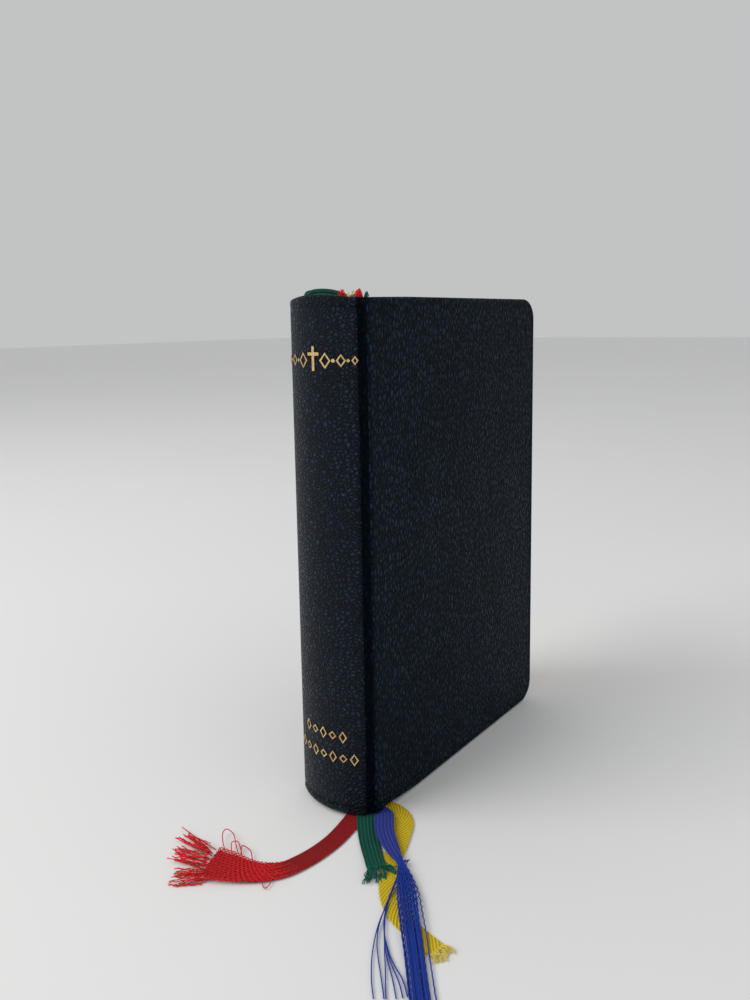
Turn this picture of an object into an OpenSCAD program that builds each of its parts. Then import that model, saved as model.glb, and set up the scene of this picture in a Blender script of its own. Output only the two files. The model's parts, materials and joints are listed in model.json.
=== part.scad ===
// Pocket prayer book in a leather case binding, closed and standing on the tail edges of its boards.
// The spine faces -X, the front cover faces -Y and the fore-edge faces +X. All sizes are in millimetres.
// Inside this file x is counted from the line on which the covers turn, and placed() moves it to the origin.

/* [Covers] */
// Height of the covers
cover_h = 170; // [160:1:180]
// Width of a cover, from the line that it turns on to the fore-edge
cover_w = 108; // [100:1:115]
// Thickness of the closed book
book_t = 33; // [32:0.5:36]
// Radius of the covers' two fore-edge corners
corner_r = 8; // [5:0.5:10]
// Thickness of the covering leather
leather_t = 0.8; // [0.7:0.05:0.9]
// Thickness of the boards
board_t = 1.2; // [1.0:0.1:1.4]
// Width of the flexible joint between spine and board
joint_w = 4; // [3.5:0.1:4.5]
// Depth of the groove in that joint
groove_d = 1.1; // [0.6:0.1:1.2]
// Width of the leather turned in over the boards' inner faces
turn_in_w = 12; // [8:1:16]

/* [Spine] */
// How far the rounded spine stands out behind the joints
bulge = 6.7; // [6:0.1:7.2]
// Gap between the spine's tail edge and the table
spine_lift = 0.9; // [0.8:0.05:1.2]
// Thickness of the paper board in the spine
stiffener_t = 0.6; // [0.5:0.05:0.7]

/* [Text block] */
// How far the covers stand past the pages
square_w = 3; // [2.5:0.1:4]
// Number of sewn sections, an odd number
section_count = 27; // [27:2:29]
// Angle that the outermost pages turn through
fan_deg = 90; // [60:5:90]
// Radius of the pages' fore-edge corners
page_corner_r = 7; // [4:0.5:9]

/* [Ribbons] */
// Width of each ribbon
ribbon_w = 6.6; // [6:0.1:6.8]
// Thickness of each ribbon
ribbon_t = 0.25; // [0.2:0.05:0.25]

/* [Hidden] */
half_t = book_t / 2;
paper_t = 0.15;           // endpapers
turn_in_t = 0.35;         // pared leather inside the cover
cover_t = leather_t + board_t + turn_in_t + paper_t;
inner_y = half_t - cover_t;
snip_tail = 1.6;          // the boards' corners at the joint are cut back by this height at the tail
snip_head = 0.3;          // and by this at the head
snip_l = 18;              // over this length
joint_tail = 1.4;         // the joint leather stops this far from the cover's tail
joint_head = 0.5;         // and this far from its head

// The rounded spine: layers on one centre, from the leather inwards.
spine_r = (half_t * half_t + bulge * bulge) / (2 * bulge);
spine_x = spine_r - bulge;
stiffener_r = spine_r - leather_t;
hollow_r = stiffener_r - stiffener_t;
spine_turn_r = hollow_r - 0.05;
spine_turn_t = 0.3;
lining_r = hollow_r - 1.0;
lining_t = 0.27;
mull_r = lining_r - lining_t;
mull_t = 0.25;
thread_room = 0.35;
fold_r = mull_r - mull_t - thread_room;
thread_r = 0.15;
spine_z0 = spine_lift;
spine_z1 = cover_h - 0.4;
lip_h = 0.9;

// Sections of the text block. Each has its sewn fold fixed to the spine, and leaves that turn in the gutter.
page_z0 = square_w;
page_z1 = cover_h - square_w;
page_h = page_z1 - page_z0;
fly_room = 0.4;
text_t = book_t - 2 * cover_t - 2 * fly_room;
pitch = text_t / section_count;
section_t = pitch - 0.04;
middle = (section_count + 1) / 2;
steps = middle - 1;
outer_hinge_x = 4.1;
leaf_gap = 0.52;
fold_gap = 0.8;
fore_edge_x = cover_w - square_w;
flyleaf_y = inner_y - 0.2;
flyleaf_x0 = 1.2;
leaf_w = fore_edge_x - fold_x(steps * pitch);

// Ribbons: [colour, section that each lies in, its middle in the gutter, its place round the spine, top of its loop]
channel_d = 0.3;
tab_r = lining_r + 0.2;
tab_z0 = 151;
loop_pinch = 1.6;         // a ribbon bunches by this much where it crosses the head
ribbons = [
    ["firebrick", middle - 4, 2.8, -9.5, 169.8],
    ["seagreen", middle - 6, 2.8, 9.5, 173.4],
    ["royalblue", middle - 8, 2.8, -28.5, 170.2],
    ["gold", middle - 2, 5.7, 28.5, 169.8]
];

book_x0 = -bulge;
middle_x = (book_x0 + cover_w) / 2;

function leaves_name(i) = str("leaves_", i < 10 ? "0" : "", i);
function fold_x(y) = spine_x - sqrt(fold_r * fold_r - y * y);
function section_y(i) = (i - middle) * pitch;
// Angle of the pages that lie n sections from the middle, when the outermost are fully turned.
function fan(n) = fan_deg * n / steps;
// Where those pages turn: further from the spine towards the middle, so that thick sections clear each other.
function hinge_x(n) = n >= steps ? outer_hinge_x : hinge_x(n + 1) + pitch * tan(fan(n + 1) / 2);
function arc(cx, cy, r, a0, a1, n = 8) =
    [for (i = [0:n]) let (a = a0 + (a1 - a0) * i / n) [cx + r * cos(a), cy + r * sin(a)]];
function unit(v) = v / norm(v);
function flat_across(v, along) = unit(v - (v * along) * along);

// Moves x from the covers' turning line to the middle of the book.
module placed() translate([-middle_x, 0, 0]) children();

// Puts a part that is drawn for the back cover on either side.
module on_side(side) mirror([0, side < 0 ? 1 : 0, 0]) children();

// A flat sheet between two depths, from an outline in x and z.
module sheet(y0, y1, outline)
    translate([0, y1, 0]) rotate([90, 0, 0]) linear_extrude(y1 - y0) polygon(outline);

// A part of a round layer of the spine, from its outer radius inwards.
module layer(r, t, z0, z1, half_w, x1 = 3)
    intersection() {
        translate([spine_x, 0, z0]) difference() {
            cylinder(r = r, h = z1 - z0, $fn = 192);
            translate([0, 0, -1]) cylinder(r = r - t, h = z1 - z0 + 2, $fn = 192);
        }
        translate([-bulge - 1, -half_w, z0]) cube([bulge + 1 + x1, 2 * half_w, z1 - z0]);
    }

// Outline of a cover, drawn in by inset. The corners at the joint are cut back, and the others are round.
function cover_outline(inset, x0, snip = 1) = concat(
    [[x0, snip * snip_tail + inset], [joint_w + snip_l, inset]],
    arc(cover_w - corner_r, corner_r, max(corner_r - inset, 0.5), -90, 0),
    arc(cover_w - corner_r, cover_h - corner_r, max(corner_r - inset, 0.5), 0, 90),
    [[joint_w + snip_l, cover_h - inset], [x0, cover_h - snip * snip_head - inset]]
);

// Outline of pages in x and z, with round fore-edge corners.
function page_outline(x0, x1) = concat(
    [[x0, page_z0]],
    arc(x1 - page_corner_r, page_z0 + page_corner_r, page_corner_r, -90, 0),
    arc(x1 - page_corner_r, page_z1 - page_corner_r, page_corner_r, 0, 90),
    [[x0, page_z1]]
);

// A flat strip swept along points, each with the direction of the strip's width and that width.
module strip(points, widths, sizes) {
    last = len(points) - 1;
    function along(i) = unit(points[min(i + 1, last)] - points[max(i - 1, 0)]);
    rings = [for (i = [0:last])
        let (w = flat_across(widths[i], along(i)) * sizes[i] / 2, n = cross(along(i), unit(w)) * ribbon_t / 2)
        [points[i] - w - n, points[i] + w - n, points[i] + w + n, points[i] - w + n]];
    sides = [for (i = [0:last - 1], k = [0:3])
        [4 * i + k, 4 * i + (k + 1) % 4, 4 * i + 4 + (k + 1) % 4, 4 * i + 4 + k]];
    triangles = [for (s = sides) each [[s[0], s[2], s[1]], [s[0], s[3], s[2]]]];
    caps = [[0, 1, 2], [0, 2, 3], [4 * last, 4 * last + 2, 4 * last + 1], [4 * last, 4 * last + 3, 4 * last + 2]];
    polyhedron([for (r = rings) each r], concat(triangles, caps), convexity = 10);
}

// ---- Case ----

// Leather of the rounded spine, turned in over the stiffener at head and tail.
module spine_leather() color("#1b1f2b") {
    layer(spine_r, leather_t, spine_z0, spine_z1, half_t + 1, 0);
    for (z = [spine_z0, spine_z1 - lip_h])
        layer(spine_r, spine_r - spine_turn_r + spine_turn_t, z, z + lip_h, 13.4, 0);
    for (z = [[spine_z0, 12], [spine_z1 - 11, spine_z1]])
        layer(spine_turn_r, spine_turn_t, z[0], z[1], 13.4, 0);
}

module spine_stiffener() color("#b9a888")
    layer(stiffener_r, stiffener_t, spine_z0 + lip_h, spine_z1 - lip_h, 13.4, 0);

// Strip of the same leather that bends when a cover opens, pressed into a groove.
module joint_leather() color("#151924") {
    n = 12;
    outer = [for (i = [0:n]) [joint_w * i / n, half_t - groove_d * pow(sin(180 * i / n), 2)]];
    inner = [for (i = [n:-1:0]) [joint_w * i / n, outer[i][1] - leather_t]];
    translate([0, 0, joint_tail]) linear_extrude(cover_h - joint_tail - joint_head) polygon(concat(outer, inner));
}

// Outer leather of a cover, wrapped round the board's three free edges and turned in.
module cover_leather() color("#1c202a")
    difference() {
        sheet(inner_y + paper_t, half_t, cover_outline(0, joint_w));
        sheet(inner_y + paper_t + turn_in_t, half_t - leather_t, cover_outline(leather_t, joint_w - 1));
        sheet(inner_y, inner_y + paper_t + turn_in_t + 0.01, cover_outline(turn_in_w, joint_w - 1, 0));
    }

module cover_board() color("#9a8f7c")
    sheet(inner_y + paper_t + turn_in_t, half_t - leather_t, cover_outline(leather_t, joint_w));

// Card that levels the board's inner face between the turn-ins.
module board_infill() color("#d8d0bd")
    sheet(inner_y + paper_t, inner_y + paper_t + turn_in_t, cover_outline(turn_in_w, joint_w, 0));

module pastedown() color("#10131a")
    sheet(inner_y, inner_y + paper_t, cover_outline(square_w, joint_w, 0));

module flyleaf() color("#10131a")
    sheet(flyleaf_y - paper_t, flyleaf_y, page_outline(flyleaf_x0, fore_edge_x));

// ---- Gold ornament, in place of a title ----

foil_t = 0.06;

// A flat motif, drawn in y and z, laid on the spine at an angle and a height.
module on_spine(angle, z)
    translate([spine_x, 0, z]) rotate([0, 0, 180 - angle]) translate([spine_r - 1, 0, 0])
        rotate([90, 0, 90]) linear_extrude(2) children();

module foil(z0, z1)
    intersection() {
        layer(spine_r + foil_t, foil_t, z0, z1, half_t, 0);
        union() children();
    }

module lozenge(w, h) polygon([[-w / 2, 0], [0, -h / 2], [w / 2, 0], [0, h / 2]]);

module ring_lozenge(w, h, line) difference() {
    lozenge(w, h);
    lozenge(w - 2.6 * line, h - 2.6 * line);
}

module latin_cross(h, line) {
    polygon([[-line / 2, -h / 2], [line / 2, -h / 2], [line / 2, h / 2], [-line / 2, h / 2]]);
    polygon([[-h * 0.3, h * 0.12], [h * 0.3, h * 0.12], [h * 0.3, h * 0.12 + line], [-h * 0.3, h * 0.12 + line]]);
}

// Upper row: a cross between lozenges and dots.
module ornament_upper() color("#d9b26a")
    foil(145, 157) {
        on_spine(0, 151.2) latin_cross(7.6, 1);
        for (side = [-1, 1]) {
            on_spine(side * 11, 150.6) ring_lozenge(4, 5, 0.52);
            on_spine(side * 17.8, 150.6) circle(d = 1.2, $fn = 20);
            on_spine(side * 24, 150.6) ring_lozenge(3.2, 4, 0.48);
            on_spine(side * 29.6, 150.6) circle(d = 1, $fn = 20);
            on_spine(side * 34.6, 150.6) ring_lozenge(2.2, 2.8, 0.42);
        }
    }

// Lower rows: small lozenges, five over seven.
module ornament_lower() color("#d9b26a")
    foil(15, 33) {
        for (i = [-2:2]) on_spine(i * 9.2, 28) ring_lozenge(3, i % 2 == 0 ? 4.2 : 3, 0.46);
        for (i = [-3:3]) on_spine(i * 9.2, 20.6) ring_lozenge(3, i % 2 == 0 ? 3 : 4.2, 0.46);
    }

// ---- Text block ----

module paper_lining() color("#c9a877")
    layer(lining_r, lining_t, page_z0 + 1, page_z1 - 1, 13, 3);

module mull_lining() color("#e9e2cf")
    layer(mull_r, mull_t, 13, cover_h - 13, 13.2, 3);

// Sewing thread: one round of it at each of six stations along the folds.
module sewing_thread() color("#f4efe2")
    for (station = [0:5])
        intersection() {
            translate([spine_x, 0, 24 + station * (cover_h - 48) / 5])
                rotate_extrude($fn = 96) translate([fold_r + thread_room / 2, 0]) circle(r = thread_r, $fn = 16);
            translate([-bulge, -13, 0]) cube([bulge + 4, 26, cover_h]);
        }

// Striped band at the head of the spine: a bead on the folds, with its skirt glued to the spine.
module headband() color("#e8dfc8") {
    bead_r = 0.65;
    intersection() {
        translate([spine_x, 0, page_z1 + bead_r + 0.02])
            rotate_extrude($fn = 96) translate([mull_r - mull_t - 0.45, 0]) circle(r = bead_r, $fn = 24);
        translate([-bulge, -12.6, 0]) cube([bulge + 4, 25.2, cover_h]);
    }
    layer(mull_r, mull_t, cover_h - 12.7, page_z1 + bead_r, 12.6, 3);
}

// Sewn back of one section, between the spine and the line on which its leaves turn.
module sewn_fold(i) {
    y = section_y(i);
    x1 = hinge_x(abs(i - middle)) - fold_gap;
    a = y - section_t / 2;
    b = y + section_t / 2;
    difference() {
        translate([0, 0, page_z0]) linear_extrude(page_h)
            polygon([[fold_x(a), a], [x1, a], [x1, b], [fold_x(b), b]]);
        for (r = ribbons) if (r[1] == i)
            translate([r[2] - ribbon_w / 2 - 0.1, a - 1, page_z0 - 1])
                cube([ribbon_w + 0.2, 1 + channel_d, page_h + 2]);
    }
}

module sewn_folds() color("#efe7d2")
    for (i = [1:section_count]) if (i != middle) sewn_fold(i);

// Leaves of one section, from the gutter to the hollow fore-edge. The middle section is whole.
module leaves(i) color("#d8b25a") {
    y = section_y(i);
    n = abs(i - middle);
    x0 = n == 0 ? fold_x(section_t / 2) + 0.01 : hinge_x(n) + leaf_gap;
    a = y - section_t / 2;
    b = y + section_t / 2;
    xa = fold_x(a) + leaf_w;
    xb = fold_x(b) + leaf_w;
    intersection() {
        translate([0, 0, page_z0]) linear_extrude(page_h) polygon([[x0, a], [xa, a], [xb, b], [x0, b]]);
        sheet(a, b, page_outline(x0, max(xa, xb)));
    }
}

// ---- Ribbons ----

// Where a ribbon lies in its section's channel.
function channel_y(r) = section_y(r[1]) - section_t / 2 + channel_d / 2;
// Where a ribbon's upper end is glued, and the direction of its width there.
function tab_point(r, z) = [spine_x - tab_r * cos(r[3]), tab_r * sin(r[3]), z];
function tab_width(r) = (r[3] < 0 ? -1 : 1) * [sin(r[3]), cos(r[3]), 0];
function bezier(a, b, c, d, t) =
    pow(1 - t, 3) * a + 3 * pow(1 - t, 2) * t * b + 3 * (1 - t) * t * t * c + pow(t, 3) * d;

// The part of a ribbon that the book holds: up the spine, over the head in a loop, and down the gutter.
module marker(r) color(r[0]) {
    n = 14;
    top = tab_point(r, spine_z1 - 0.6);
    into = [r[2], channel_y(r), page_z1 + 0.2];
    lift = [0, 0, (r[4] - into[2]) * 4 / 3];
    loop = [for (i = [0:n]) bezier(top, top + lift * 0.8, into + lift, into, i / n)];
    turn = [for (i = [0:n]) let (t = i / n) (1 - t) * tab_width(r) + t * [1, 0, 0]];
    points = concat([tab_point(r, tab_z0)], loop, [[r[2], channel_y(r), page_z0]]);
    sizes = concat([ribbon_w], [for (i = [0:n]) ribbon_w - loop_pinch * sin(180 * i / n)], [ribbon_w]);
    strip(points, concat([tab_width(r)], turn, [[1, 0, 0]]), sizes);
}

// Free tails, from the tail of the text block to the frayed ends. Each row is [x, y, z, width direction
// in plan as an angle from +X, width].
red_route = [
    [2.8, 0, 3, 0, 6.6], [2.8, -0.25, 1.7, 0, 6.6], [2.7, -1.2, 0.62, -6, 6.6],
    [2.0, -3.1, 0.42, -24, 6.6], [0.1, -4.9, 0.42, -52, 6.6], [-2.8, -5.9, 0.42, -74, 6.6],
    [-7, -6.9, 0.32, -80, 6.6], [-12, -7.8, 0.2, -82, 6.6], [-17.6, -8.4, 0.2, -88, 6.6],
    [-24, -8.2, 0.2, -94, 6.7], [-30, -7.3, 0.3, -100, 6.8], [-35.6, -5.6, 0.4, -112, 7],
    [-40, -2.4, 0.5, -132, 7.6], [-43, 1.6, 0.6, -148, 8.8], [-45.2, 6, 0.8, -154, 10],
    [-47, 10.6, 1, -156, 11], [-48.9, 15.2, 1.2, -156, 11.5], [-51.3, 20, 1.2, -154, 11.5],
    [-54.4, 25.6, 1, -152, 11]
];
green_route = [
    [2.8, 0, 3, 0, 6.6], [2.8, -0.25, 1.9, 0, 6.6], [2.7, -1.2, 0.92, -4, 6.6],
    [2.1, -3, 0.71, -14, 6.6], [0.4, -5.3, 0.7, -32, 6.6], [-1.8, -7.5, 0.7, -42, 6.6],
    [-4.8, -10.1, 0.6, -46, 6.5], [-8.6, -13.7, 0.32, -46, 6.4], [-12.3, -17.6, 0.42, -45, 6.2],
    [-15.8, -21.6, 0.6, -45, 6], [-19, -25.4, 0.76, -46, 6], [-20.9, -27.8, 0.78, -46, 5.6],
    [-22.6, -29.9, 0.78, -46, 5.2]
];
blue_route = [
    [2.8, 0, 3, 0, 6.6], [2.8, -0.25, 2.1, 0, 6.6], [2.8, -1.2, 1.2, 0, 6.6], [2.8, -3, 0.99, 0, 6.6],
    [3, -5.4, 0.99, -1, 5.8], [3, -7.4, 1.05, -6, 5.6], [2.7, -9, 1.2, -27, 5.8],
    [1.4, -10.4, 1.6, -46, 6.2], [-0.9, -12.1, 1.9, -50, 6.4], [-4, -14.5, 2.1, -48, 6.3],
    [-6.9, -17.5, 2.1, -44, 6],
    [-9.4, -20.9, 2, -46, 5.2], [-11.8, -24.8, 1.8, -48, 3.8], [-13.8, -28.4, 1.5, -46, 2.2],
    [-17, -32, 1.4, -45, 4.6], [-22.4, -37.2, 1.3, -42, 6.8], [-29, -43, 1.2, -42, 7],
    [-37, -50.2, 0.8, -42, 7.2], [-46, -58.2, 0.5, -42, 8.4], [-54, -65.4, 0.4, -42, 9]
];
yellow_route = [
    [5.7, 0, 3, 0, 6.6], [5.7, -0.25, 1.5, 0, 6.6], [5.7, -1.2, 0.3, 0, 6.6], [5.8, -3.6, 0.15, 2, 6.6],
    [6.2, -7.4, 0.15, 3, 6.6], [6.9, -11.2, 0.15, 2, 6.6], [7.2, -15.2, 0.2, -6, 6.6],
    [6.4, -19, 0.3, -24, 6.6], [3.6, -22.6, 0.35, -48, 6.6], [-0.6, -25.2, 0.35, -62, 6.2],
    [-6.4, -27.8, 0.3, -68, 6.2], [-13, -30.6, 0.2, -64, 6.2], [-19.8, -34.8, 0.2, -54, 6.2],
    [-26, -40, 0.2, -40, 6], [-30, -46, 0.2, -22, 5.8], [-32, -53, 0.2, -12, 5.6],
    [-33.6, -61.5, 0.3, -10, 5.6]
];

// A free tail: y is counted from the ribbon's own channel.
module tail(r, route) color(r[0])
    strip(
        [for (p = route) [p[0], p[1] + channel_y(r), p[2]]],
        [for (p = route) [cos(p[3]), sin(p[3]), 0]],
        [for (p = route) p[4]]
    );

placed() spine_leather();
placed() spine_stiffener();
placed() on_side(-1) joint_leather();  // front_joint_leather
placed() on_side(1) joint_leather();  // back_joint_leather
placed() ornament_upper();
placed() ornament_lower();
placed() paper_lining();
placed() mull_lining();
placed() sewing_thread();
placed() headband();  // headband_head
placed() translate([0, 0, cover_h]) mirror([0, 0, 1]) headband();  // headband_tail
placed() sewn_folds();
placed() on_side(-1) cover_leather();  // front_leather
placed() on_side(-1) cover_board();  // front_board
placed() on_side(-1) board_infill();  // front_infill
placed() on_side(-1) pastedown();  // front_pastedown
placed() on_side(-1) flyleaf();  // front_flyleaf
placed() on_side(1) cover_leather();  // back_leather
placed() on_side(1) cover_board();  // back_board
placed() on_side(1) board_infill();  // back_infill
placed() on_side(1) pastedown();  // back_pastedown
placed() on_side(1) flyleaf();  // back_flyleaf
placed() marker(ribbons[0]);  // ribbon_red_marker
placed() marker(ribbons[1]);  // ribbon_green_marker
placed() marker(ribbons[2]);  // ribbon_blue_marker
placed() marker(ribbons[3]);  // ribbon_yellow_marker
placed() tail(ribbons[0], red_route);  // ribbon_red_tail
placed() tail(ribbons[1], green_route);  // ribbon_green_tail
placed() tail(ribbons[2], blue_route);  // ribbon_blue_tail
placed() tail(ribbons[3], yellow_route);  // ribbon_yellow_tail
for (i = [1:section_count])
    placed() leaves(i);
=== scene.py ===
import json
import math

import bmesh
import bpy
import numpy as np
from mathutils import Matrix, Vector


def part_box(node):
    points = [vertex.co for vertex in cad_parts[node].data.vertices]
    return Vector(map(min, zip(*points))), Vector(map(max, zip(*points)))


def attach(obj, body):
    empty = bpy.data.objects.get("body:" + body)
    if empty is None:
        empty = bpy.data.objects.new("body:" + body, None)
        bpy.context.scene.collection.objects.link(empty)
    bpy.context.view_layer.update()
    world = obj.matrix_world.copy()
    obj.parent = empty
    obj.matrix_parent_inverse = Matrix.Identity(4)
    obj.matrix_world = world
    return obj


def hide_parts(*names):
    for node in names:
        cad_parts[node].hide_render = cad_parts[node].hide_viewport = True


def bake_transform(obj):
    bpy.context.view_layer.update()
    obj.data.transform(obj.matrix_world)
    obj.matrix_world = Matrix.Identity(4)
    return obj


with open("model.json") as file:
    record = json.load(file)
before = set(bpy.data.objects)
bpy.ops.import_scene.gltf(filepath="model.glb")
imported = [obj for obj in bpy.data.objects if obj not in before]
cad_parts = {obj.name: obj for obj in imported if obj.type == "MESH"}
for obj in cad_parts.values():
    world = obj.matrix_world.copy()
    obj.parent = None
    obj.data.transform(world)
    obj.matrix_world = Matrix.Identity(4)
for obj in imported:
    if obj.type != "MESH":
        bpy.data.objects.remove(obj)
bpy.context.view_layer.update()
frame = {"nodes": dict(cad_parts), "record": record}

# Lengths are in millimetres, with x counted from the line that the covers turn on, until new_mesh() turns
# them into the frame's metres.
MM = 0.001
rng = np.random.default_rng(11)

spine_low, spine_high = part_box("spine_leather")
cover_low, cover_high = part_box("front_leather")
TURN_X = spine_high[0]
BULGE = (spine_high[0] - spine_low[0]) / MM
COVER_H = cover_high[2] / MM
COVER_W = (cover_high[0] - TURN_X) / MM
HALF_T = -cover_low[1] / MM
INNER_Y = -cover_high[1] / MM
SPINE_Z0 = spine_low[2] / MM
SPINE_Z1 = spine_high[2] / MM
SPINE_R = (HALF_T**2 + BULGE**2) / (2 * BULGE)
SPINE_X = SPINE_R - BULGE
SPINE_ANGLE = math.asin(HALF_T / SPINE_R)
LEATHER_T = 0.8
JOINT_W = 4.0
# The groove's depth, its middle counted from the turning line, and how far it spreads.
GROOVE_D = 1.35
GROOVE_S = -1.5
GROOVE_SPREAD = 1.35
PAGE_Z0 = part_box("leaves_01")[0][2] / MM
PAGE_Z1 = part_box("leaves_01")[1][2] / MM
RIBBON_T = 0.25
RIBBON_W = 6.6
# Radii of the text block's rounded back, from outside to inside.
STIFFENER_T = 0.6
HOLLOW_GAP = 1.0
LINING_R = SPINE_R - LEATHER_T - STIFFENER_T - HOLLOW_GAP
PAPER_LINING_T = 0.27
MULL_T = 0.25
THREAD_ROOM = 0.35
FOLD_R = LINING_R - PAPER_LINING_T - MULL_T - THREAD_ROOM
TAB_R = LINING_R + 0.2
SECTIONS = 27
MIDDLE = (SECTIONS + 1) // 2
SIDES = (("front", -1), ("back", 1))


# ---- Camera ----

CAMERA_PLACE = (-0.2363, -0.1675, 0.1623)
CAMERA_YAW = -51.3
CAMERA_PITCH = -7.8
CAMERA_ROLL = -0.99

camera = bpy.data.objects.new("camera", bpy.data.cameras.new("camera"))
bpy.context.scene.collection.objects.link(camera)
camera.data.lens = 28.33
camera.data.sensor_width = 36
camera.data.shift_y = -0.0709
camera.data.clip_start = 0.01
turn = Matrix.Rotation(math.radians(CAMERA_YAW), 4, "Z")
tilt = Matrix.Rotation(math.radians(90 + CAMERA_PITCH), 4, "X")
roll = Matrix.Rotation(math.radians(CAMERA_ROLL), 4, "Z")
camera.matrix_world = Matrix.Translation(CAMERA_PLACE) @ turn @ tilt @ roll
bpy.context.scene.camera = camera


# ---- Node helpers ----

class Shader:
    """A material's node tree, with short calls for the nodes that the materials below share."""

    def __init__(self, name):
        self.material = bpy.data.materials.new(name)
        self.material.use_nodes = True
        self.tree = self.material.node_tree
        self.surface = self.tree.nodes["Principled BSDF"]

    def node(self, kind, **settings):
        made = self.tree.nodes.new(kind)
        for key, value in settings.items():
            setattr(made, key, value)
        return made

    def join(self, source, target):
        self.tree.links.new(source, target)

    def feed(self, socket, value):
        if isinstance(value, bpy.types.NodeSocket):
            self.join(value, socket)
        else:
            socket.default_value = value

    def place(self, scale=(1, 1, 1)):
        """Object coordinates in metres, scaled."""
        source = self.node("ShaderNodeTexCoord")
        mapping = self.node("ShaderNodeMapping")
        mapping.inputs["Scale"].default_value = scale
        self.join(source.outputs["Object"], mapping.inputs["Vector"])
        return mapping.outputs["Vector"]

    def normal(self):
        return self.node("ShaderNodeTexCoord").outputs["Normal"]

    def attribute(self, name):
        return self.node("ShaderNodeAttribute", attribute_name=name).outputs["Fac"]

    def noise(self, vector, scale, detail, roughness, distortion=0.0, output="Fac"):
        made = self.node("ShaderNodeTexNoise")
        self.join(vector, made.inputs["Vector"])
        made.inputs["Scale"].default_value = scale
        made.inputs["Detail"].default_value = detail
        made.inputs["Roughness"].default_value = roughness
        made.inputs["Distortion"].default_value = distortion
        return made.outputs[output]

    def cells(self, vector, scale):
        """Distance to the edges of irregular cells."""
        made = self.node("ShaderNodeTexVoronoi", feature="DISTANCE_TO_EDGE")
        self.join(vector, made.inputs["Vector"])
        made.inputs["Scale"].default_value = scale
        return made.outputs["Distance"]

    def math(self, operation, a, b=0.0, c=0.0):
        made = self.node("ShaderNodeMath", operation=operation)
        for socket, value in zip(made.inputs, (a, b, c)):
            self.feed(socket, value)
        return made.outputs[0]

    def spread(self, value, low, high, to_low=0.0, to_high=1.0):
        """Eases a value from one range to another."""
        made = self.node("ShaderNodeMapRange", interpolation_type="SMOOTHSTEP")
        for key, number in (("Value", value), ("From Min", low), ("From Max", high),
                            ("To Min", to_low), ("To Max", to_high)):
            self.feed(made.inputs[key], number)
        return made.outputs["Result"]

    def mix(self, factor, a, b):
        made = self.node("ShaderNodeMix", data_type="RGBA")
        self.feed(made.inputs[0], factor)
        for socket, colour in ((made.inputs[6], a), (made.inputs[7], b)):
            self.feed(socket, colour if isinstance(colour, bpy.types.NodeSocket) else (*colour, 1))
        return made.outputs[2]

    def shift(self, vector, amount, by):
        """Moves a vector by noise times amount."""
        scaled = self.node("ShaderNodeVectorMath", operation="SCALE")
        self.join(by, scaled.inputs[0])
        scaled.inputs["Scale"].default_value = amount
        added = self.node("ShaderNodeVectorMath", operation="ADD")
        self.join(vector, added.inputs[0])
        self.join(scaled.outputs[0], added.inputs[1])
        return added.outputs[0]

    def split(self, vector):
        made = self.node("ShaderNodeSeparateXYZ")
        self.join(vector, made.inputs[0])
        return made.outputs

    def bump(self, height, distance, strength):
        made = self.node("ShaderNodeBump")
        made.inputs["Distance"].default_value = distance
        made.inputs["Strength"].default_value = strength
        self.join(height, made.inputs["Height"])
        return made.outputs["Normal"]

    def finish(self, **sockets):
        """Feeds the surface's sockets, named with _ for a space."""
        for key, value in sockets.items():
            socket = self.surface.inputs[key.replace("_", " ")]
            if isinstance(value, tuple) and len(value) == 3:
                value = (*value, 1)
            self.feed(socket, value)
        return self.material


# ---- Materials ----

GRAINS_PER_M = 640
GRAIN_D = 0.00032


def leather(name, dark, light, stretch, roughness, gloss, grain, across=1.0):
    """Dark blue pebbled leather: rounded grains with creases between them. dark is the creases' colour,
    darkened as painted shade, and light the grains'. stretch under 1 makes the grains taller, and across
    over 1 makes them narrower.
    roughness is that of the grains and the creases, and grain how deep the creases are."""
    s = Shader(name)
    place = s.place(scale=(across, across, stretch))
    bent = s.shift(place, 0.0016, s.noise(place, 520, 2, 0.5, output="Color"))
    domes = s.spread(s.cells(bent, GRAINS_PER_M), 0.02, 0.36)
    small = s.spread(s.cells(bent, 1500), 0.0, 0.3)
    fine = s.noise(place, 5200, 3, 0.6)
    broad = s.noise(place, 34, 4, 0.6)
    height = s.math("ADD", domes, s.math("MULTIPLY", small, 0.28))
    height = s.math("ADD", height, s.math("MULTIPLY", fine, 0.12))
    normal = s.bump(height, GRAIN_D * grain, 0.9)
    # Painted shade: the creases take the dark colour and the grains' tops the light one, mixed with a broad
    # random tone.
    crease_shade_and_tone = s.math("MULTIPLY", s.math("MULTIPLY", domes, s.spread(small, 0.0, 1.0, 0.55, 1.0)),
                  s.spread(broad, 0.3, 0.7, 0.6, 1.0))
    colour = s.mix(crease_shade_and_tone, dark, light)
    worn = s.math("ADD", domes, s.math("MULTIPLY", broad, 0.6))
    rough = s.spread(worn, 0.2, 1.4, roughness[1], roughness[0])
    return s.finish(Base_Color=colour, Roughness=rough, Normal=normal, Specular_IOR_Level=gloss)


def gold_foil():
    """Gold leaf rubbed thin over the grain."""
    s = Shader("gold_foil")
    place = s.place()
    worn = s.noise(place, 1500, 4, 0.7)
    patches = s.spread(worn, 0.42, 0.62)
    colour = s.mix(patches, (0.86, 0.62, 0.30), (0.52, 0.34, 0.14))
    rough = s.spread(worn, 0.3, 0.7, 0.28, 0.5)
    return s.finish(Base_Color=colour, Metallic=1.0, Roughness=rough, Normal=s.bump(worn, 0.00008, 0.6))


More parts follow.
